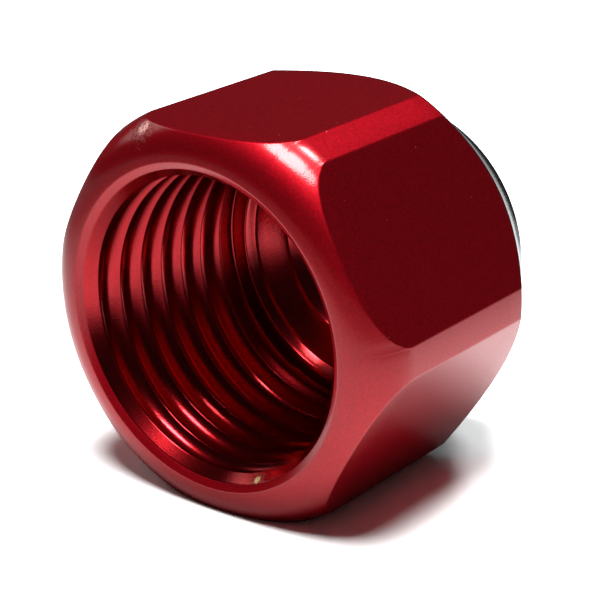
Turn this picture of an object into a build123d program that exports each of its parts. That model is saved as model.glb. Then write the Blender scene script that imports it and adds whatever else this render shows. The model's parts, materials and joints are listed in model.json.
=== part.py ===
"""Tube nut: one piece, turned and bored from hexagon bar, for the end of a flared tube.

Millimetres. The nut's axis lies along Y: the threaded mouth faces -Y and the tube leaves at +Y.
The nut lies on one of its flats, so the origin is the middle of that flat's footprint and +Z is up.
"""

import os
from math import sqrt, tan, radians
from build123d import *

# Tube hole, and the seat and step for the tube's sleeve in front of it
tube_diameter = 9.525
tube_clearance = 0.39
tube_hole_chamfer = 0.3
seat_width = 1.2
seat_angle = 50.0
step_length = 0.8
step_edge_break = 0.1

# Thread around the step, and the relief groove at its end
step_ledge = 0.3975
thread_height = 0.395
thread_depth = 9.35
relief_width = 1.35
relief_clearance = 0.105
relief_corner = 0.2

# Mouth: a narrow lip, then the countersink that leads into the thread
lip_width = 0.3
lip_depth = 0.18
mouth_edge_round = 0.08
countersink_clearance = 0.055
countersink_angle = 45.0

# Outside: hexagon bar with its corners turned down, a rounded front and a tapered shoulder behind
wall_at_flats = 1.585
corner_trim = 0.395
overall_length = 15.3
dome_radius = 2.3
shoulder_angle = 34.0
shoulder_land = 0.25
rear_face_width = 1.575
rear_edge_break = 0.05

# Sizes that follow from those above, from the tube outwards
tube_hole_r = tube_diameter / 2 + tube_clearance
step_r = tube_hole_r + seat_width
crest_r = step_r + step_ledge
thread_r = crest_r + thread_height
relief_r = thread_r + relief_clearance
countersink_r = thread_r + countersink_clearance
mouth_r = countersink_r + lip_width
rear_face_r = tube_hole_r + rear_face_width
across_flats = 2 * (thread_r + wall_at_flats)
turned_r = across_flats / sqrt(3) - corner_trim
relief_end = thread_depth + relief_width

# How far a cutting profile runs past the faces it opens
overrun = 2.0


def cone_length(large_r, small_r, half_angle):
    """Length along the axis of a cone between two radii."""
    return (large_r - small_r) / tan(radians(half_angle))


def turned_blank():
    """Outside as turned: rounded front corner, cylinder, tapered shoulder with its land, rear face."""
    dome = JernArc((turned_r - dome_radius, 0), (1, 0), dome_radius, 90)
    land_start = overall_length - shoulder_land
    shoulder_start = land_start - cone_length(turned_r, rear_face_r, shoulder_angle)
    back = Polyline(
        dome @ 1,
        (turned_r, shoulder_start),
        (rear_face_r, land_start),
        (rear_face_r, overall_length - rear_edge_break),
        (rear_face_r - rear_edge_break, overall_length),
        (0, overall_length),
        (0, 0),
        dome @ 0,
    )
    return revolve(make_face([dome, back]), axis=Axis.Y)


def hexagon_bar():
    """Bar with the six wrench flats along the nut's axis, two of them level."""
    bar_end = Plane.XZ.offset(-overall_length - overrun)
    section = bar_end * RegularPolygon(across_flats / 2, 6, major_radius=False)
    return extrude(section, overall_length + 2 * overrun)


def stepped_bore():
    """Cutter for the mouth, thread bore, relief groove, step, sleeve seat and tube hole."""
    lip_slope = lip_width / lip_depth
    countersink_end = lip_depth + cone_length(countersink_r, crest_r, countersink_angle)
    seat_start = relief_end + step_length
    seat_end = seat_start + cone_length(step_r, tube_hole_r, seat_angle)
    outline = Polyline(
        (0, -overrun),
        (mouth_r + lip_slope * overrun, -overrun),
        (countersink_r, lip_depth),
        (crest_r, countersink_end),
        (crest_r, thread_depth),
        (relief_r - relief_corner, thread_depth),
        (relief_r, thread_depth + relief_corner),
        (relief_r, relief_end - relief_corner),
        (relief_r - relief_corner, relief_end),
        (step_r + step_edge_break, relief_end),
        (step_r, relief_end + step_edge_break),
        (step_r, seat_start),
        (tube_hole_r, seat_end),
        (tube_hole_r, overall_length - tube_hole_chamfer),
        (tube_hole_r + tube_hole_chamfer + overrun, overall_length + overrun),
        (0, overall_length + overrun),
        close=True,
    )
    return revolve(make_face(outline), axis=Axis.Y)


def tube_nut():
    """The finished nut, lying on one flat with its mouth towards -Y."""
    nut = (turned_blank() & hexagon_bar()) - stepped_bore()
    front_edges = nut.edges().filter_by(GeomType.CIRCLE).group_by(Axis.Y)[0]
    mouth_rim = front_edges.sort_by(SortBy.RADIUS)[0]
    nut = fillet(mouth_rim, mouth_edge_round)
    return Pos(0, -nut.bounding_box().center().Y, across_flats / 2) * nut


os.makedirs("parts", exist_ok=True)
export_step(tube_nut(), "parts/tube_nut.step")
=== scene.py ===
"""Looks of the tube nut: its mesh with the real thread, its finishes, and the studio around it.

Sizes are millimetres until a mesh or a lamp is made, and then metres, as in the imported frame.
"""

import json
import logging
import math
from dataclasses import dataclass
from enum import Enum
from typing import Any

import bpy
import numpy as np
from mathutils import Matrix, Vector

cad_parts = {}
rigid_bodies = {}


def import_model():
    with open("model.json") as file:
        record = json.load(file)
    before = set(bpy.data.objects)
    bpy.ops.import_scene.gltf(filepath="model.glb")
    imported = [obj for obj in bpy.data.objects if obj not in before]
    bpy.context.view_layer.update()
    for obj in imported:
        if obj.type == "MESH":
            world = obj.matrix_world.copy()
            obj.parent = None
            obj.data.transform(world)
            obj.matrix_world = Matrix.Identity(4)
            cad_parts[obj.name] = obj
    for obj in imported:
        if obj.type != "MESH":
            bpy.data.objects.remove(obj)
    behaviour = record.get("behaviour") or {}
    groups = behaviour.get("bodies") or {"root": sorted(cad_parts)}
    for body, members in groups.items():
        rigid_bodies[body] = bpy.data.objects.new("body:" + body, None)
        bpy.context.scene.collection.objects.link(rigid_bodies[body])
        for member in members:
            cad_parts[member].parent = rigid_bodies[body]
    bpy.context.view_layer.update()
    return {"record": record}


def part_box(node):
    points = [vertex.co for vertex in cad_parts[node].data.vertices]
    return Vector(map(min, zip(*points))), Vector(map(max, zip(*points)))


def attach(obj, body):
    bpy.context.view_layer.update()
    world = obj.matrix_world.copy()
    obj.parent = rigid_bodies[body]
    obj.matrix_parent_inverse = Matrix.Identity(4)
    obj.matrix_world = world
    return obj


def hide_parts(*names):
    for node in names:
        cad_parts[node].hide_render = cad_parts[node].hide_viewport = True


MM = 0.001
NODE = "tube_nut"
TURN = 2 * math.pi
Array = np.ndarray

# Decimals of a millimetre in which points that are one have to agree
WELD_DECIMALS = 6

# Shortest stretch of wall that a direction is taken from, in millimetres
SHORTEST = 1e-9

# Where almost all values of a noise pattern lie, and how many finer layers lie on its first one
NOISE_LOW, NOISE_HIGH, NOISE_LAYERS = 0.3, 0.7, 2.0

# Settings of the nodes that are used most
ADD = {"operation": "ADD"}
TIMES = {"operation": "MULTIPLY"}
TIMES_PLUS = {"operation": "MULTIPLY_ADD"}
LARGER = {"operation": "MAXIMUM"}
SMOOTH = {"interpolation_type": "SMOOTHSTEP"}
COLOURS = {"data_type": "RGBA"}
NUMBERS = {"data_type": "FLOAT"}

# A mix node's share and its two values, by number, because its kinds of value share their names
SHARE, FIRST_NUMBER, SECOND_NUMBER, FIRST_COLOUR, SECOND_COLOUR = 0, 2, 3, 6, 7

log = logging.getLogger("tube_nut_scene")


def linear_colour(hex_code: str) -> tuple[float, float, float, float]:
    """Turns an sRGB colour into the linear values that a shader takes.

    Args:
        hex_code: six hexadecimal digits, such as "C01828".

    Returns:
        Red, green, blue and an alpha of one.
    """
    srgb = np.array([int(hex_code[i : i + 2], 16) for i in (0, 2, 4)]) / 255
    linear = np.where(srgb <= 0.04045, srgb / 12.92, ((srgb + 0.055) / 1.055) ** 2.4)
    return (*(float(v) for v in linear), 1.0)


def add_node(
    tree: bpy.types.NodeTree,
    kind: str,
    settings: dict[str, Any] | None = None,
    sockets: dict[Any, Any] | None = None,
) -> bpy.types.Node:
    """Adds one node with its settings, input values and links.

    Args:
        tree: the node tree that gets the node.
        kind: the node's type name.
        settings: properties of the node itself.
        sockets: for each input, by name or number, a value, an output socket to link to it, or a node
            whose first output in use is linked to it.

    Returns:
        The new node.
    """
    node = tree.nodes.new(kind)
    for name, value in (settings or {}).items():
        setattr(node, name, value)
    for name, value in (sockets or {}).items():
        if isinstance(value, bpy.types.Node):
            value = next(output for output in value.outputs if output.enabled)
        if isinstance(value, bpy.types.NodeSocket):
            tree.links.new(value, node.inputs[name])
        else:
            node.inputs[name].default_value = value
    return node


def empty_material(name: str) -> bpy.types.Material:
    """Makes a material with an empty node tree."""
    material = bpy.data.materials.new(name)
    material.use_nodes = True
    material.node_tree.nodes.clear()
    return material


def smooth_min(a: Array, b: Array | float, width: float) -> Array:
    """The smaller of two arrays, with the crease between them rounded over a width.

    Formula: the smaller value, less width / 4 times the square of how near the two are, from 0 to 1.
    """
    near = np.clip(1 - np.abs(a - b) / width, 0, 1)
    return np.minimum(a, b) - near**2 * width / 4


def weld(points: Array, quads: Array, marks: Array) -> tuple[Array, Array, Array]:
    """Joins points that coincide, and splits the quads into triangles, leaving out those with no area.

    Args:
        points: one row of three coordinates for each point, in millimetres.
        quads: four point numbers for each quad.
        marks: one number for each quad, which its triangles keep.

    Returns:
        The joined points, three point numbers for each triangle, and each triangle's mark.
    """
    rounded = np.round(points, WELD_DECIMALS)
    _, first, joined = np.unique(rounded, axis=0, return_index=True, return_inverse=True)
    corners = joined.ravel()[quads]
    triangles = np.concatenate([corners[:, [0, 1, 2]], corners[:, [0, 2, 3]]])
    a, b, c = triangles.T
    whole = (a != b) & (b != c) & (c != a)
    return points[first], triangles[whole], np.concatenate([marks, marks])[whole]


def grid_quads(rows: int, columns: int, climb: int = 0) -> Array:
    """Quads of a grid that closes on itself round the axis.

    Formula: each quad joins two neighbouring rows and two neighbouring columns.

    Args:
        rows: how many rows of quads.
        columns: how many columns, of which the last is joined to the first.
        climb: how many rows further on the last column meets the first one, as on a helix.

    Returns:
        Four point numbers for each quad, with the points numbered row by row.
    """
    row = np.arange(rows)[:, None]
    column = np.arange(columns)
    following = (column + 1) % columns
    met = row + np.where(following == 0, climb, 0)
    return np.stack([
        row * columns + column, (row + 1) * columns + column,
        (met + 1) * columns + following, met * columns + following,
    ], axis=-1).reshape(-1, 4)


class Finish(Enum):
    """Finishes of the nut's faces, by their place among the mesh's materials."""

    FLAT = 0
    TURNED = 1
    BORE = 2
    SHOULDER = 3


@dataclass
class NutSizes:
    """Sizes of the nut in millimetres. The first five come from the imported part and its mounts."""

    across_flats: float
    turned_r: float
    crest_r: float
    tube_hole_r: float
    rear_y: float
    overall_length: float = 15.3
    dome_radius: float = 2.3
    shoulder_angle: float = 34.0
    shoulder_land: float = 0.25
    rear_face_width: float = 1.575
    rear_edge_break: float = 0.05
    tube_hole_chamfer: float = 0.3
    lip_width: float = 0.3
    lip_depth: float = 0.18
    countersink_clearance: float = 0.055
    countersink_angle: float = 37.0
    thread_height: float = 0.395
    thread_depth: float = 9.35
    relief_width: float = 1.35
    relief_clearance: float = 0.105
    relief_corner: float = 0.2
    step_length: float = 0.8
    seat_width: float = 1.2
    seat_angle: float = 50.0

    @classmethod
    def from_frame(cls, record: dict[str, Any]) -> "NutSizes":
        """Reads the outside from the node's box and the two bores from the record's mounts."""
        low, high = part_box(NODE)
        radii = {mount["name"]: mount["dims"].get("r_mm") for mount in record["mounts"]}
        return cls(
            across_flats=(high.z - low.z) / MM,
            turned_r=(high.x - low.x) / 2 / MM,
            crest_r=radii["thread"],
            tube_hole_r=radii["tube_hole"],
            rear_y=high.y / MM,
        )

    @property
    def axis_z(self) -> float:
        """Height of the nut's axis over the surface that it lies on."""
        return self.across_flats / 2

    @property
    def root_r(self) -> float:
        """Radius at the bottom of the thread's groove."""
        return self.crest_r + self.thread_height

    @property
    def mouth_r(self) -> float:
        """Radius of the mouth's edge."""
        return self.root_r + self.countersink_clearance + self.lip_width

    @property
    def flat_edge_angle(self) -> float:
        """Angle from a flat's middle to the edge where the turned cylinder cuts it."""
        return math.acos(self.across_flats / 2 / self.turned_r)


@dataclass(frozen=True)
class ThreadForm:
    """Right-hand thread cut in the bore's wall, in millimetres and degrees.

    Phases are shares of one pitch, counted from a crest's rear edge. The groove is deepest at the phase
    root, and the next crest begins at the phase opening. The groove sets in at the depth start and is
    whole a start_ramp further on. It grows by extra_height within a ramp that sets in at lead_in, and
    loses that again in a ramp before the thread's end.
    """

    pitch: float = 1.411
    first_edge: float = 0.80
    root: float = 0.40
    opening: float = 0.97
    steepest: float = 60.0
    extra_height: float = 0.08
    start: float = 0.70
    start_ramp: float = 0.40
    lead_in: float = 0.55
    ramp: float = 1.0
    crest_softness: float = 0.16
    near_edge: float = 0.05
    phase_rows: tuple[int, int, int] = (6, 14, 7)

    def height(self, sizes: NutSizes, depth: Array) -> Array:
        """Height of the thread at depths: it starts behind the countersink and falls towards the relief.

        Formula: the height times a start ramp, plus the extra height times the smaller of two more ramps,
        each ramp held from nought to one.
        """
        started = np.clip((depth - self.start) / self.start_ramp, 0, 1)
        growing = (depth - self.lead_in) / self.ramp
        falling = (sizes.thread_depth - depth) / self.ramp
        return sizes.thread_height * started + self.extra_height * np.clip(np.minimum(growing, falling), 0, 1)

    def radius(self, sizes: NutSizes, angle: Array, depth: Array) -> Array:
        """Radius of the threaded wall at angles and depths.

        Formula: the phase is (depth - first edge) / pitch - angle / whole turn, less its whole part. From
        its root the groove bows up to a rim on each side, as 1 - sqrt(1 - (v sin T)^2) over 1 - cos T,
        where v runs from 0 to 1 and T is the steepest slope. Past a rim it goes on straight, and a smooth
        maximum rounds it into the crest.
        """
        phase = np.mod((depth - self.first_edge) / self.pitch - angle / TURN, 1.0)
        ahead = (phase - self.root) / (self.opening - self.root)
        behind = (1 - phase + self.root) / self.root
        across = np.where(phase < self.root, 1 - phase / self.root, np.minimum(ahead, behind))
        slope = math.radians(self.steepest)
        held = np.minimum(across, 1.0)
        bow = (1 - np.sqrt(1 - (held * math.sin(slope)) ** 2)) / (1 - math.cos(slope))
        past = (across - held) * (1 + 1 / math.cos(slope))
        shape = -smooth_min(bow + past - 1, 0.0, self.crest_softness)
        return sizes.crest_r + self.height(sizes, depth) * shape

    def row_phases(self) -> Array:
        """Phases of the mesh's rows over one pitch, close together on the crest."""
        stops = (self.near_edge, self.root, self.opening - self.near_edge, 1 + self.near_edge)
        parts = [np.linspace(a, b, n + 1)[:-1] for a, b, n in zip(stops, stops[1:], self.phase_rows)]
        return np.concatenate(parts)


@dataclass
class Corner:
    """A corner of the half section at every column, with the rows and finish of the wall that follows."""

    radius: Array | float
    depth: Array | float
    round_by: float = 0.0
    rows: int = 1
    finish: Finish = Finish.TURNED


@dataclass
class HalfSection:
    """Outline carried round the axis: rows of radius and depth, with a value at every column."""

    corners: list[Corner]
    corner_rows: int = 4

    def rows(self, columns: int) -> tuple[Array, Array]:
        """Works out the rows of the outline, with its corners rounded.

        Formula: a corner is the quadratic curve (1-t)^2 before + 2t(1-t) corner + t^2 after, whose ends lie
        the corner's round_by away from it along its two walls. Rows between corners are evenly spaced.

        Args:
            columns: how many columns there are.

        Returns:
            Points of shape (rows, columns, 2), and the finish of the strip that follows each row.
        """
        at = np.stack([
            np.stack([np.broadcast_to(c.radius, columns), np.broadcast_to(c.depth, columns)], axis=-1)
            for c in self.corners
        ]).astype(float)
        step = np.diff(at, axis=0)
        step /= np.maximum(np.linalg.norm(step, axis=-1, keepdims=True), SHORTEST)
        last = len(self.corners) - 1
        before = [at[i] - (step[i - 1] * c.round_by if i else 0) for i, c in enumerate(self.corners)]
        after = [at[i] + (step[i] * c.round_by if i < last else 0) for i, c in enumerate(self.corners)]
        points, finishes = [], []
        for i, corner in enumerate(self.corners):
            turn = np.linspace(0, 1, self.corner_rows + 1) if corner.round_by else np.zeros(1)
            turn = turn[:, None, None]
            points.append((1 - turn) ** 2 * before[i] + 2 * turn * (1 - turn) * at[i] + turn**2 * after[i])
            if i < last:
                along = np.linspace(0, 1, corner.rows + 1)[1:-1, None, None]
                points.append(after[i] * (1 - along) + before[i + 1] * along)
            finishes += [corner.finish.value] * sum(len(p) for p in points[-(2 if i < last else 1):])
        return np.concatenate(points), np.array(finishes)


@dataclass
class TubeNut:
    """The nut as one closed mesh: turned outside on a hexagon, and a stepped bore with its thread."""

    sizes: NutSizes
    thread: ThreadForm
    flat_columns: int = 28
    edge_columns: int = 7
    strip_columns: int = 4
    dome_rows: int = 15
    flat_rows: int = 8
    shoulder_rows: int = 10
    countersink_rows: int = 18
    outer_edge_round: float = 0.07
    fine_edge_round: float = 0.04
    step_edge_round: float = 0.08
    seat_edge_round: float = 0.12

    def columns(self) -> Array:
        """Angles of the mesh's columns, from -X towards +Z, close together at the flats' long edges.

        Formula: in each sixth of a turn the angles are even across the flat, bunched within the rounding on
        each side of its two edges, and even across the strip between that flat and the next.
        """
        edge = self.sizes.flat_edge_angle
        half = self.outer_edge_round / self.sizes.turned_r
        stops = (-edge + half, edge - half, edge + half, math.pi / 3 - edge - half, math.pi / 3 - edge + half)
        counts = (self.flat_columns, self.edge_columns, self.strip_columns, self.edge_columns)
        sixth = np.concatenate([np.linspace(a, b, n + 1)[:-1] for a, b, n in zip(stops, stops[1:], counts)])
        middles = (np.arange(6) + 0.5) * math.pi / 3
        return np.sort(np.mod((middles[:, None] + sixth).ravel(), TURN))

    def hexagon_r(self, angle: Array) -> Array:
        """Distance from the axis to the trimmed hexagon.

        Formula: half the distance across flats over the cosine of the angle from the nearest flat's middle,
        held to the turned radius by a smooth minimum, as wide as the edge's rounding times its slope.
        """
        s = self.sizes
        flat = s.across_flats / 2 / np.cos(np.mod(angle, math.pi / 3) - math.pi / 6)
        return smooth_min(flat, s.turned_r, self.outer_edge_round * math.tan(s.flat_edge_angle))

    def dome_corners(self, outer: Array) -> list[Corner]:
        """Rows of the rounded front from the mouth's edge to the hexagon, which cuts it off.

        Formula: radius = middle + dome radius x cos(turn), depth = dome radius x (1 - sin(turn)), with the
        turn going evenly from the mouth's edge to the hexagon, and the middle a dome radius inside the bar.
        """
        s = self.sizes
        middle = s.turned_r - s.dome_radius
        start = math.acos((s.mouth_r - middle) / s.dome_radius)
        stop = np.arccos(np.clip((outer - middle) / s.dome_radius, -1, 1))
        rows = []
        for share in np.linspace(0, 1, self.dome_rows + 1):
            turn = start + (stop - start) * share
            rows.append(Corner(middle + s.dome_radius * np.cos(turn), s.dome_radius * (1 - np.sin(turn))))
        rows[0].round_by = self.fine_edge_round
        edge = rows[-1]
        rows[-1] = Corner(edge.radius, edge.depth, self.outer_edge_round, self.flat_rows, Finish.FLAT)
        return rows

    def half_section(self, angle: Array) -> HalfSection:
        """Corners from the countersink's wide end out over the front, round the rear and in to the thread.

        Formula: a cone is as long as the difference of its radii over the tangent of its half angle. Each
        corner says its radius, its depth, its rounding, how many rows lead to the next one, and a finish.
        """
        s = self.sizes
        fine = self.fine_edge_round
        outer = self.hexagon_r(angle)
        root_depth = s.lip_depth + s.countersink_clearance
        land_depth = s.overall_length - s.shoulder_land
        rear_r = s.tube_hole_r + s.rear_face_width
        shoulder_depth = land_depth - (outer - rear_r) / math.tan(math.radians(s.shoulder_angle))
        step_r = s.tube_hole_r + s.seat_width
        relief_r = s.root_r + s.relief_clearance
        relief_end = s.thread_depth + s.relief_width
        seat_start = relief_end + s.step_length
        seat_end = seat_start + s.seat_width / math.tan(math.radians(s.seat_angle))
        bore, bare = Finish.BORE, Finish.SHOULDER
        return HalfSection([
            Corner(s.root_r, root_depth, finish=bore),
            Corner(s.root_r + s.countersink_clearance, s.lip_depth, fine, 2),
            *self.dome_corners(outer),
            Corner(outer, shoulder_depth, self.outer_edge_round, self.shoulder_rows, bare),
            Corner(rear_r, land_depth, fine, 2, bare),
            Corner(rear_r, s.overall_length, s.rear_edge_break, 4, bare),
            Corner(s.tube_hole_r + s.tube_hole_chamfer, s.overall_length, fine, 2, bare),
            Corner(s.tube_hole_r, s.overall_length - s.tube_hole_chamfer, fine, 3, bore),
            Corner(s.tube_hole_r, seat_end, self.seat_edge_round, 4, bore),
            Corner(step_r, seat_start, self.seat_edge_round, 3, bore),
            Corner(step_r, relief_end, self.step_edge_round, 3, bore),
            Corner(relief_r, relief_end, s.relief_corner, 3, bore),
            Corner(relief_r, s.thread_depth, s.relief_corner, 2, bore),
            Corner(self.thread.radius(s, angle, np.full_like(angle, s.thread_depth)), s.thread_depth),
        ])

    def countersink_rows_at(self, angle: Array) -> tuple[Array, float]:
        """Rows of the countersink, from its narrow end on the thread's crests out to its wide end.

        Formula: the radius is the larger of the cone's, which falls with depth, and the thread's.

        Returns:
            Points of shape (rows, columns, 2), and the depth where the cone meets the crests.
        """
        s = self.sizes
        slope = math.tan(math.radians(s.countersink_angle))
        root_depth = s.lip_depth + s.countersink_clearance
        crest_depth = root_depth + s.thread_height / slope
        depth = np.linspace(crest_depth, root_depth, self.countersink_rows + 1)[:-1, None]
        depth = np.broadcast_to(depth, (self.countersink_rows, len(angle)))
        cone = s.root_r - (depth - root_depth) * slope
        radius = np.maximum(cone, self.thread.radius(s, angle[None, :], depth))
        return np.stack([radius, depth], axis=-1), crest_depth

    def thread_rows(self, angle: Array, front: float) -> tuple[Array, int]:
        """Rows that follow the thread's helix, held between the countersink and the relief groove.

        Formula: depth = first edge + pitch x (turn + phase + angle / whole turn), held between the two ends,
        so that rows past an end fall together on its circle.

        Returns:
            Points of shape (rows, columns, 2), and how many rows make one pitch.
        """
        s, form = self.sizes, self.thread
        phases = form.row_phases()
        turns = np.arange(-2, math.ceil(s.thread_depth / form.pitch) + 1)
        along = (turns[:, None] + phases).ravel()
        depth = form.first_edge + form.pitch * (along[:, None] + angle[None, :] / TURN)
        depth = np.clip(depth, front, s.thread_depth)
        return np.stack([form.radius(s, angle[None, :], depth), depth], axis=-1), len(phases)

    def place(self, section: Array, angle: Array) -> Array:
        """Carries rows of radius and depth round the axis into the row frame, in millimetres.

        Formula: X = -radius cos(angle), Y = rear - (length - depth), Z = axis height + radius sin(angle).
        """
        s = self.sizes
        radius, depth = section[..., 0], section[..., 1]
        x = -radius * np.cos(angle)
        y = s.rear_y - (s.overall_length - depth)
        z = s.axis_z + radius * np.sin(angle)
        return np.stack([x, y, z], axis=-1).reshape(-1, 3)

    def surface(self) -> tuple[Array, Array, Array]:
        """Works out the whole surface: the turned rows, and the thread's helix welded to both their ends.

        Formula: a turned row closes on itself, and a row of the thread climbs one pitch in a turn, so that
        its last column meets the first column of the row one pitch further on.

        Returns:
            Points in millimetres, triangles that face outwards, and the finish of each triangle.
        """
        angle = self.columns()
        count = len(angle)
        front_rows, crest_depth = self.countersink_rows_at(angle)
        outline, finishes = self.half_section(angle).rows(count)
        turned = np.concatenate([front_rows, outline])
        finishes = np.concatenate([np.full(len(front_rows), Finish.BORE.value), finishes])
        helix, per_pitch = self.thread_rows(angle, crest_depth)
        ring = grid_quads(len(turned) - 1, count)
        coil = grid_quads(len(helix) - 1 - per_pitch, count, per_pitch)[:, ::-1] + len(turned) * count
        points = np.concatenate([self.place(turned, angle), self.place(helix, angle)])
        marks = np.concatenate([np.repeat(finishes[:-1], count), np.full(len(coil), Finish.BORE.value)])
        points, triangles, marks = weld(points, np.concatenate([ring, coil]), marks)
        used, triangles = np.unique(triangles, return_inverse=True)
        points, triangles = points[used], triangles.reshape(-1, 3)
        a, b, c = (points[triangles[:, i]] for i in range(3))
        inside_out = np.einsum("ij,ij->", a, np.cross(b, c)) < 0
        return points, triangles[:, ::-1] if inside_out else triangles, marks

    def build(self, materials: list[bpy.types.Material]) -> bpy.types.Object:
        """Builds the nut's object with its finishes.

        Args:
            materials: one material for each finish, in the order of Finish.

        Returns:
            The object, at the origin, with its place in its mesh.
        """
        points, triangles, marks = self.surface()
        mesh = bpy.data.meshes.new("nut_body")
        mesh.from_pydata((points * MM).tolist(), [], triangles.tolist())
        mesh.polygons.foreach_set("material_index", marks.astype(np.int32))
        mesh.shade_smooth()
        for material in materials:
            mesh.materials.append(material)
        mesh.validate()
        nut = bpy.data.objects.new("nut_body", mesh)
        bpy.context.scene.collection.objects.link(nut)
        return nut


@dataclass
class TurnedPlace:
    """Where a point of the part lies about the nut's axis, as values in a material's node tree.

    Patterns that a lathe leaves follow circles about the axis, so they are drawn in the radius, the place
    along the axis and a short unit vector across it. The vector turns slowly and has no seam.
    """

    tree: bpy.types.NodeTree
    axis_z: float

    def __post_init__(self) -> None:
        """Adds the nodes that take the object coordinates apart."""
        self.point = add_node(self.tree, "ShaderNodeTexCoord").outputs["Object"]
        parts = add_node(self.tree, "ShaderNodeSeparateXYZ", None, {0: self.point}).outputs
        above = add_node(self.tree, "ShaderNodeMath", {"operation": "SUBTRACT"}, {
            0: parts["Z"], 1: self.axis_z * MM,
        })
        away = add_node(self.tree, "ShaderNodeCombineXYZ", None, {0: parts["X"], 1: above})
        self.along = parts["Y"]
        self.radius = add_node(self.tree, "ShaderNodeVectorMath", {"operation": "LENGTH"}, {0: away})
        unit = add_node(self.tree, "ShaderNodeVectorMath", {"operation": "NORMALIZE"}, {0: away})
        unit_parts = add_node(self.tree, "ShaderNodeSeparateXYZ", None, {0: unit}).outputs
        self.across, self.up = unit_parts["X"], unit_parts["Y"]

    def grain(self, size: float, layers: float = NOISE_LAYERS, sharpness: float = 0.6) -> bpy.types.Node:
        """Even grain, the same in all directions.

        Args:
            size: width of a grain in millimetres.
            layers: how many finer layers lie on the first one.
            sharpness: how strong each layer is, as a share of the one before it.

        Returns:
            A node with a value around one half.
        """
        return add_node(self.tree, "ShaderNodeTexNoise", None, {
            "Vector": self.point, "Scale": 1 / (size * MM), "Detail": layers, "Roughness": sharpness,
        })

    def turning(self, spacing: float, length: float) -> bpy.types.Node:
        """Fine lines round the axis.

        Args:
            spacing: distance from line to line in millimetres.
            length: how far a line runs round the axis before it changes, as a share of the radius.

        Returns:
            A node with a value around one half.
        """
        step = 1 / (spacing * MM)
        scaled = [
            add_node(self.tree, "ShaderNodeMath", TIMES, {0: part, 1: scale})
            for part, scale in (
                (self.radius, step), (self.along, step), (self.across, 1 / length), (self.up, 1 / length),
            )
        ]
        lines = add_node(self.tree, "ShaderNodeCombineXYZ", None, dict(enumerate(scaled[:3])))
        return add_node(self.tree, "ShaderNodeTexNoise", {"noise_dimensions": "4D"}, {
            "Vector": lines, "W": scaled[3], "Scale": 1.0, "Detail": NOISE_LAYERS,
        })

    def about(self, pattern: bpy.types.Node, middle: float, reach: float) -> bpy.types.Node:
        """Carries a noise pattern to values about a middle, and holds them within a reach of it."""
        return add_node(self.tree, "ShaderNodeMapRange", None, {
            "Value": pattern,
            "From Min": NOISE_LOW,
            "From Max": NOISE_HIGH,
            "To Min": middle - reach,
            "To Max": middle + reach,
        })

    def spot(
        self, centre: tuple[float, float, float], size: float, core: float, edge: float,
    ) -> bpy.types.Node:
        """A spot that is one at its middle and nothing beyond its size.

        Args:
            centre: the spot's middle in millimetres.
            size: how far it reaches in millimetres.
            core: share of its reach before it thins out.
            edge: width of the rags at its edge in millimetres.

        Returns:
            A node with a value from nought to one.
        """
        away = add_node(self.tree, "ShaderNodeVectorMath", {"operation": "DISTANCE"}, {
            0: self.point, 1: tuple(c * MM for c in centre),
        })
        ragged = add_node(self.tree, "ShaderNodeMath", ADD, {
            0: away, 1: self.about(self.grain(edge), 0.0, size / 2 * MM),
        })
        return add_node(self.tree, "ShaderNodeMapRange", None, {
            "Value": ragged,
            "From Min": size * core * MM,
            "From Max": size * MM,
            "To Min": 1.0,
            "To Max": 0.0,
        })


@dataclass(frozen=True)
class WearAndGlintSpot:
    """A rough spot of pitted bare metal shining through the dye. It serves both for real wear and for a
    painted highlight.

    On the front it draws a knock, which is wear. On the countersink it draws a pale patch that stands in for
    a glint of light, a painted highlight. Metal is bare where the pits' pattern, plus the spot times its
    weight, passes from bare_from to bare_to. The rest of the spot takes on the bare metal's colour by its
    given share. Lengths are millimetres.
    """

    centre: tuple[float, float, float]
    size: float
    pit: float
    bare: str
    pale_share: float
    depth: float
    core: float = 0.35
    pit_layers: float = 3.0
    roughness: float = 0.9
    weight: float = 0.4
    bare_from: float = 0.80
    bare_to: float = 0.90


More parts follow.
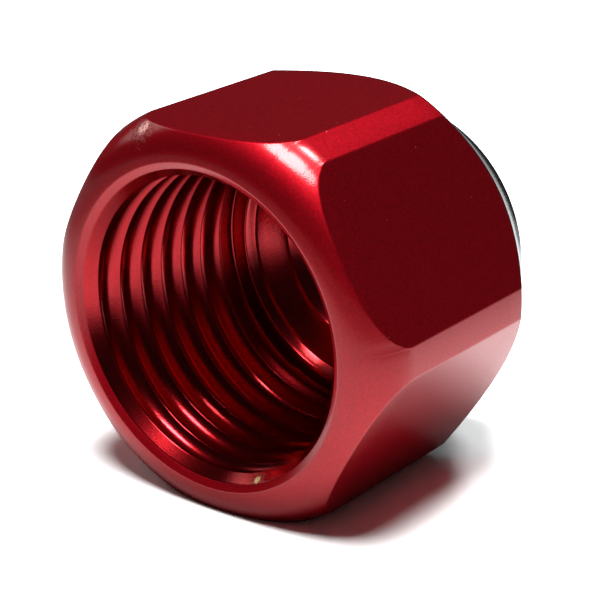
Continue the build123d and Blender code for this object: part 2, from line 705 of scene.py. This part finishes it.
@dataclass(frozen=True)
class AnodisedFinish:
    """Aluminium anodised and dyed red: a dyed metal under the clear film of the sealed oxide.

    Grain, lines and their depths are in millimetres. The real grain and lines are some hundredths wide,
    too fine to show, and are drawn a few times coarser.
    """

    name: str
    dye: str = "B00B1C"
    edge_tint: str = "D1B7B7"
    roughness: float = 0.55
    film_roughness: float = 0.17
    film_ior: float = 1.45
    film_weight: float = 1.0
    grain: float = 0.10
    grain_contrast: float = 0.18
    grain_depth: float = 0.003
    lines: float = 0.07
    line_length: float = 0.6
    line_contrast: float = 0.05
    line_depth: float = 0.0003
    speck_spacing: float = 0.0
    speck_size: float = 0.05
    speck_core: float = 0.4
    speck_colour: str = "D08080"
    wear_and_glint_spots: tuple[WearAndGlintSpot, ...] = ()

    def specked(self, place: TurnedPlace, colour: bpy.types.Node) -> bpy.types.Node:
        """Strews pale specks on a colour, one to each cell of a loose pattern."""
        cells = add_node(place.tree, "ShaderNodeTexVoronoi", None, {
            "Vector": place.point, "Scale": 1 / (self.speck_spacing * MM),
        })
        reach = self.speck_size / self.speck_spacing
        near = add_node(place.tree, "ShaderNodeMapRange", None, {
            "Value": cells,
            "From Min": reach * self.speck_core,
            "From Max": reach,
            "To Min": 1.0,
            "To Max": 0.0,
        })
        return add_node(place.tree, "ShaderNodeMix", COLOURS, {
            SHARE: near, FIRST_COLOUR: colour, SECOND_COLOUR: linear_colour(self.speck_colour),
        })

    def material(self, axis_z: float) -> bpy.types.Material:
        """Builds the finish's material.

        Args:
            axis_z: height of the nut's axis, in millimetres.

        Returns:
            The material.
        """
        material = empty_material(self.name)
        tree = material.node_tree
        place = TurnedPlace(tree, axis_z)
        grain = place.grain(self.grain)
        lines = place.turning(self.lines, self.line_length)
        shade = add_node(tree, "ShaderNodeMath", TIMES, {
            0: place.about(grain, 1.0, self.grain_contrast), 1: place.about(lines, 1.0, self.line_contrast),
        })
        colour = add_node(tree, "ShaderNodeVectorMath", {"operation": "SCALE"}, {
            0: linear_colour(self.dye)[:3], "Scale": shade,
        })
        if self.speck_spacing:
            colour = self.specked(place, colour)
        height = add_node(tree, "ShaderNodeMath", TIMES_PLUS, {
            0: grain,
            1: self.grain_depth * MM,
            2: add_node(tree, "ShaderNodeMath", TIMES, {0: lines, 1: self.line_depth * MM}),
        })
        roughness, film = self.roughness, self.film_weight
        # Each spot is a knock, which is wear, or the countersink's painted glint of pale bare metal
        for mark in self.wear_and_glint_spots:
            spot = place.spot(mark.centre, mark.size, mark.core, mark.pit)
            pits = place.grain(mark.pit, mark.pit_layers)
            bare = add_node(tree, "ShaderNodeMapRange", None, {
                "Value": add_node(tree, "ShaderNodeMath", TIMES_PLUS, {0: spot, 1: mark.weight, 2: pits}),
                "From Min": mark.bare_from,
                "From Max": mark.bare_to,
            })
            spot_paling = add_node(tree, "ShaderNodeMath", TIMES, {0: spot, 1: mark.pale_share})
            pale_share = add_node(tree, "ShaderNodeMath", LARGER, {0: bare, 1: spot_paling})
            colour = add_node(tree, "ShaderNodeMix", COLOURS, {
                SHARE: pale_share, FIRST_COLOUR: colour, SECOND_COLOUR: linear_colour(mark.bare),
            })
            roughness = add_node(tree, "ShaderNodeMix", NUMBERS, {
                SHARE: bare, FIRST_NUMBER: roughness, SECOND_NUMBER: mark.roughness,
            })
            film = add_node(tree, "ShaderNodeMix", NUMBERS, {
                SHARE: bare, FIRST_NUMBER: film, SECOND_NUMBER: 0.0,
            })
            pitted = add_node(tree, "ShaderNodeMath", TIMES, {0: spot, 1: pits})
            height = add_node(tree, "ShaderNodeMath", TIMES_PLUS, {0: pitted, 1: mark.depth * MM, 2: height})
        bump = add_node(tree, "ShaderNodeBump", None, {"Strength": 1.0, "Distance": 1.0, "Height": height})
        shader = add_node(tree, "ShaderNodeBsdfPrincipled", None, {
            "Base Color": colour,
            "Metallic": 1.0,
            "Specular Tint": linear_colour(self.edge_tint),
            "Roughness": roughness,
            "Normal": bump,
            "Coat Weight": film,
            "Coat Roughness": self.film_roughness,
            "Coat IOR": self.film_ior,
            "Coat Normal": bump,
        })
        add_node(tree, "ShaderNodeOutputMaterial", None, {"Surface": shader})
        return material


@dataclass(frozen=True)
class BareFinish:
    """Aluminium turned bright and left bare, with fine lines round the axis, in millimetres."""

    name: str
    colour: str = "DADCDE"
    roughness: float = 0.15
    lines: float = 0.05
    line_length: float = 1.5
    line_depth: float = 0.002

    def material(self, axis_z: float) -> bpy.types.Material:
        """Builds the finish's material.

        Args:
            axis_z: height of the nut's axis, in millimetres.

        Returns:
            The material.
        """
        material = empty_material(self.name)
        tree = material.node_tree
        lines = TurnedPlace(tree, axis_z).turning(self.lines, self.line_length)
        height = add_node(tree, "ShaderNodeMath", TIMES, {0: lines, 1: self.line_depth * MM})
        bump = add_node(tree, "ShaderNodeBump", None, {"Strength": 1.0, "Distance": 1.0, "Height": height})
        shader = add_node(tree, "ShaderNodeBsdfPrincipled", None, {
            "Base Color": linear_colour(self.colour),
            "Metallic": 1.0,
            "Roughness": self.roughness,
            "Normal": bump,
        })
        add_node(tree, "ShaderNodeOutputMaterial", None, {"Surface": shader})
        return material


@dataclass(frozen=True)
class PhotoCamera:
    """The photograph's camera: where it stands, the point that it looks at, its roll and its lens.

    The roll is in degrees, and all the rest in millimetres.
    """

    position: tuple[float, float, float] = (52.872, -66.137, 40.070)
    target: tuple[float, float, float] = (-0.137, -0.510, 7.887)
    roll: float = -1.674
    lens: float = 117.48
    sensor: float = 36.0
    nearest: float = 1.0
    furthest: float = 10000.0

    def build(self) -> None:
        """Makes the camera and gives it to the scene."""
        data = bpy.data.cameras.new("photo_camera")
        data.lens = self.lens
        data.sensor_width = self.sensor
        data.clip_start = self.nearest * MM
        data.clip_end = self.furthest * MM
        camera = bpy.data.objects.new("photo_camera", data)
        look = Vector(self.target) - Vector(self.position)
        turn = look.to_track_quat("-Z", "Y").to_matrix().to_4x4()
        roll = Matrix.Rotation(math.radians(self.roll), 4, "Z")
        camera.matrix_world = Matrix.Translation(Vector(self.position) * MM) @ turn @ roll
        bpy.context.scene.collection.objects.link(camera)
        bpy.context.scene.camera = camera


@dataclass(frozen=True)
class Softbox:
    """A soft round light in the sky, by its direction in degrees, its half width and its soft edge."""

    name: str
    azimuth: float
    elevation: float
    half_width: float
    soft_edge: float
    strength: float

    def direction(self) -> tuple[float, float, float]:
        """Unit vector towards the light, with azimuth 0 at +Y and 90 at +X."""
        turn, rise = math.radians(self.azimuth), math.radians(self.elevation)
        return (math.cos(rise) * math.sin(turn), math.cos(rise) * math.cos(turn), math.sin(rise))


@dataclass(frozen=True)
class Studio:
    """Plain white floor, and a dim room with softboxes overhead and at the sides. Lengths are millimetres.

    The gains say how much brighter than its colour the paper shows to the camera, and in the metal close
    by the nut. The rest are distances from the nut between which the paper seen in the metal fades: a painted
    pool of light further out, and a painted shade close by the nut.
    """

    floor_half: float = 3000.0
    paper: str = "F4F4F4"
    paper_gain: float = 1.7
    mirrored_gain: float = 1.0
    # Painted pool of light and painted shade on the paper as the metal sees it, as distances from the nut
    painted_pool_start: float = 15.0
    painted_pool_end: float = 75.0
    painted_pool_floor: float = 0.15
    painted_shade_start: float = 8.0
    painted_shade_end: float = 13.5
    painted_shade_floor: float = 0.35
    room_colour: str = "FFFFFF"
    room_strength: float = 0.02
    softboxes: tuple[Softbox, ...] = (
        Softbox("lamp", 148, 81, 13.5, 1.5, 25.0),
        Softbox("panel", 8, 74, 16, 4, 1.2),
        Softbox("back", 8, 60, 6, 2, 26.0),
        Softbox("side", -90, 28, 11, 6, 1.6),
    )

    def white_paper(self) -> bpy.types.Material:
        """Builds the floor's paper, which the camera and the metal see as white as in the photograph.

        The paper's brightness is raised for camera, glossy and transmission rays alone, so that it shows
        white with the nut's shadow on it. In the metal's reflections alone it carries a painted pool of
        light, which fades with the distance from the nut, and a painted shade close by the nut. The lamps
        cast neither.
        """
        material = empty_material("white_paper")
        tree = material.node_tree
        path = add_node(tree, "ShaderNodeLightPath").outputs
        seen = add_node(tree, "ShaderNodeMath", LARGER, {0: path["Is Camera Ray"], 1: path["Is Glossy Ray"]})
        shown = add_node(tree, "ShaderNodeMath", LARGER, {0: seen, 1: path["Is Transmission Ray"]})
        plain = linear_colour(self.paper)
        raised = (*(c * self.paper_gain for c in plain[:3]), 1.0)
        bright = add_node(tree, "ShaderNodeMix", COLOURS, {
            SHARE: shown, FIRST_COLOUR: plain, SECOND_COLOUR: raised,
        })
        away = add_node(tree, "ShaderNodeVectorMath", {"operation": "LENGTH"}, {
            0: add_node(tree, "ShaderNodeTexCoord").outputs["Object"],
        })
        nearest = self.mirrored_gain / self.paper_gain
        # Painted pool of light: the paper seen in the metal fades with the distance from the nut
        painted_pool = add_node(tree, "ShaderNodeMapRange", SMOOTH, {
            "Value": away,
            "From Min": self.painted_pool_start * MM,
            "From Max": self.painted_pool_end * MM,
            "To Min": nearest,
            "To Max": nearest * self.painted_pool_floor,
        })
        # Painted shade: the paper seen in the metal is darker close by the nut
        shade = add_node(tree, "ShaderNodeMapRange", SMOOTH, {
            "Value": away,
            "From Min": self.painted_shade_start * MM,
            "From Max": self.painted_shade_end * MM,
            "To Min": self.painted_shade_floor,
            "To Max": 1.0,
        })
        painted_reflection_fade = add_node(tree, "ShaderNodeMath", TIMES, {0: painted_pool, 1: shade})
        share = add_node(tree, "ShaderNodeMix", NUMBERS, {
            SHARE: path["Is Glossy Ray"], FIRST_NUMBER: 1.0, SECOND_NUMBER: painted_reflection_fade,
        })
        colour = add_node(tree, "ShaderNodeVectorMath", {"operation": "SCALE"}, {0: bright, "Scale": share})
        shader = add_node(tree, "ShaderNodeBsdfDiffuse", None, {"Color": colour})
        add_node(tree, "ShaderNodeOutputMaterial", None, {"Surface": shader})
        return material

    def floor(self) -> None:
        """Makes the floor, a plain sheet of white paper under the nut."""
        h = self.floor_half * MM
        mesh = bpy.data.meshes.new("floor")
        mesh.from_pydata([(-h, -h, 0), (h, -h, 0), (h, h, 0), (-h, h, 0)], [], [(0, 1, 2, 3)])
        mesh.materials.append(self.white_paper())
        floor = bpy.data.objects.new("floor", mesh)
        bpy.context.scene.collection.objects.link(floor)

    def sky(self) -> None:
        """Makes the world: the room's dim light, plus each softbox as a soft-edged disc in its direction."""
        world = bpy.data.worlds.new("studio")
        world.use_nodes = True
        tree = world.node_tree
        tree.nodes.clear()
        way = add_node(tree, "ShaderNodeTexCoord").outputs["Generated"]
        total: bpy.types.Node | float = self.room_strength
        for box in self.softboxes:
            facing = add_node(tree, "ShaderNodeVectorMath", {"operation": "DOT_PRODUCT"}, {
                0: way, 1: box.direction(),
            })
            disc = add_node(tree, "ShaderNodeMapRange", SMOOTH | {"label": box.name}, {
                "Value": facing,
                "From Min": math.cos(math.radians(box.half_width + box.soft_edge)),
                "From Max": math.cos(math.radians(max(box.half_width - box.soft_edge, 0))),
                "To Min": 0.0,
                "To Max": box.strength,
            })
            total = add_node(tree, "ShaderNodeMath", ADD, {0: disc, 1: total})
        light = add_node(tree, "ShaderNodeBackground", None, {
            "Color": linear_colour(self.room_colour), "Strength": total,
        })
        add_node(tree, "ShaderNodeOutputWorld", None, {"Surface": light})
        bpy.context.scene.world = world

    def build(self) -> None:
        """Makes the floor and the light."""
        self.floor()
        self.sky()


# Knock on the rounded front: many small pits, some of them down to the pale metal
KNOCK = WearAndGlintSpot(centre=(-3.32, -6.90, 17.16), size=0.80, pit=0.14, bare="EBC4BC", pale_share=0.15, depth=0.03)

# Painted glint on the countersink: a small rough patch of pale yellow bare metal that stands in for a
# highlight
PAINTED_GLINT = WearAndGlintSpot(centre=(2.64, -7.31, 2.20), size=0.42, pit=0.09, bare="E8D6A4", pale_share=0.1, depth=0.01)

FINISHES: dict[Finish, AnodisedFinish | BareFinish] = {
    # Anodised aluminium, drawn bar etched to a satin: matt, with a fine even grain and a few pale specks
    Finish.FLAT: AnodisedFinish(
        "red_anodised_aluminium_flats", dye="AA0B1C", roughness=0.5, film_roughness=0.15, lines=0.2,
        line_contrast=0.02, line_depth=0.0, grain=0.11, grain_contrast=0.25, speck_spacing=1.1,
        speck_size=0.045,
    ),
    # Anodised aluminium, turned first: a soft sheen on the rounded front and the strips, with faint lines
    Finish.TURNED: AnodisedFinish("red_anodised_aluminium_turned", wear_and_glint_spots=(KNOCK,)),
    # Anodised aluminium, bored and threaded first: smoother, so that it mirrors its own ridges. Its dye is
    # darker than the turned finish's, a painted shade that darkens the recess of the bore
    Finish.BORE: AnodisedFinish(
        "red_anodised_aluminium_bore", dye="A60B18", roughness=0.22, film_roughness=0.15, film_weight=0.6,
        lines=0.05, wear_and_glint_spots=(PAINTED_GLINT,),
    ),
    # Bare aluminium, turned after anodising: the rear shoulder and end shine like a dull mirror
    Finish.SHOULDER: BareFinish("bare_aluminium_turned"),
}


def main() -> None:
    """Builds the nut and the studio, and reports each piece."""
    logging.basicConfig(level=logging.INFO, format="%(message)s")
    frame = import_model()
    sizes = NutSizes.from_frame(frame["record"])
    materials = [FINISHES[finish].material(sizes.axis_z) for finish in Finish]
    nut = TubeNut(sizes, ThreadForm()).build(materials)
    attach(nut, "root")
    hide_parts(NODE)
    log.info("nut_body: %d triangles", len(nut.data.polygons))
    PhotoCamera().build()
    Studio().build()
    bpy.context.scene.view_settings.view_transform = "Standard"


if __name__ == "__main__":
    main()
